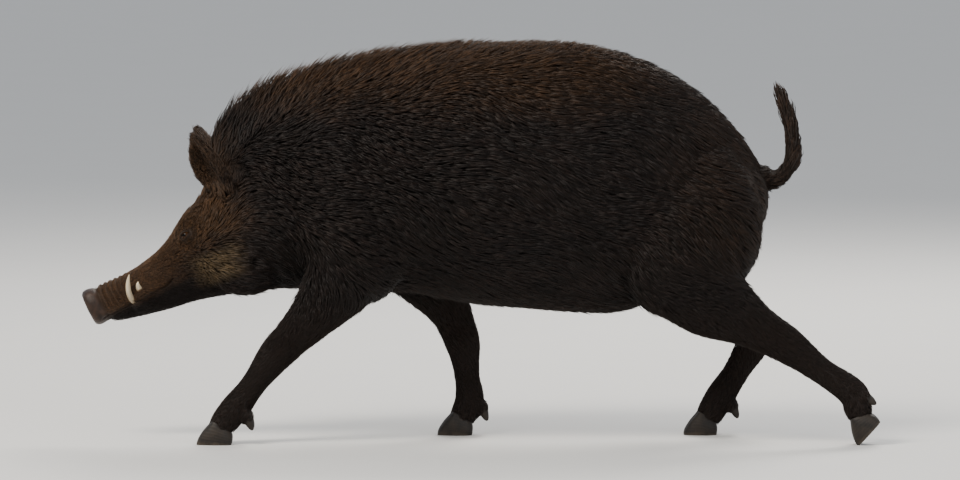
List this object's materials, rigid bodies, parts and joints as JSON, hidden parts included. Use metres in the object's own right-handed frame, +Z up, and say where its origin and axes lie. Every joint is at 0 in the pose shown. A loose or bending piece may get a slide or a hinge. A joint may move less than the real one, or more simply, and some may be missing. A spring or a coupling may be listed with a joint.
{
  "type": "wild boar",
  "caption": "Wild boar in mid stride with its head low, bristly crest raised, tail up and small tusks, standing on its hooves.",
  "frame": {"origin": "on the floor, under the middle of the boar's whole length and width", "axes": "the boar walks towards -X, its left side faces -Y, +Z is up"},
  "size_m": [1.6913, 0.4394, 0.8556],
  "materials": {
    "coat": "coarse matt bristle, near black with brown tips along the back",
    "leg_coat": "short matt bristle, near black",
    "ear_coat": "short dense hair, dark brown",
    "nose_skin": "bare moist gristle, dull sheen",
    "eye": "wet dark brown",
    "tusk": "worn ivory, satin",
    "hoof": "worn horn, satin"
  },
  "bodies": {
    "root": {"head": "coat", "neck": "coat", "trunk": "coat", "tail": "coat", "foreleg_left": "leg_coat", "foreleg_right": "leg_coat", "hindleg_left": "leg_coat", "hindleg_right": "leg_coat", "ear_left": "ear_coat", "ear_right": "ear_coat", "snout_disc": "nose_skin", "eye_left": "eye", "eye_right": "eye", "tusk_left": "tusk", "tusk_right": "tusk", "upper_tusk_left": "tusk", "upper_tusk_right": "tusk", "hoof_fore_left_outer": "hoof", "hoof_fore_left_inner": "hoof", "hoof_fore_right_outer": "hoof", "hoof_fore_right_inner": "hoof", "hoof_hind_left_outer": "hoof", "hoof_hind_left_inner": "hoof", "hoof_hind_right_outer": "hoof", "hoof_hind_right_inner": "hoof", "dewclaw_fore_left_outer": "hoof", "dewclaw_fore_left_inner": "hoof", "dewclaw_fore_right_outer": "hoof", "dewclaw_fore_right_inner": "hoof", "dewclaw_hind_left_outer": "hoof", "dewclaw_hind_left_inner": "hoof", "dewclaw_hind_right_outer": "hoof", "dewclaw_hind_right_inner": "hoof"}
  },
  "joints": []
}
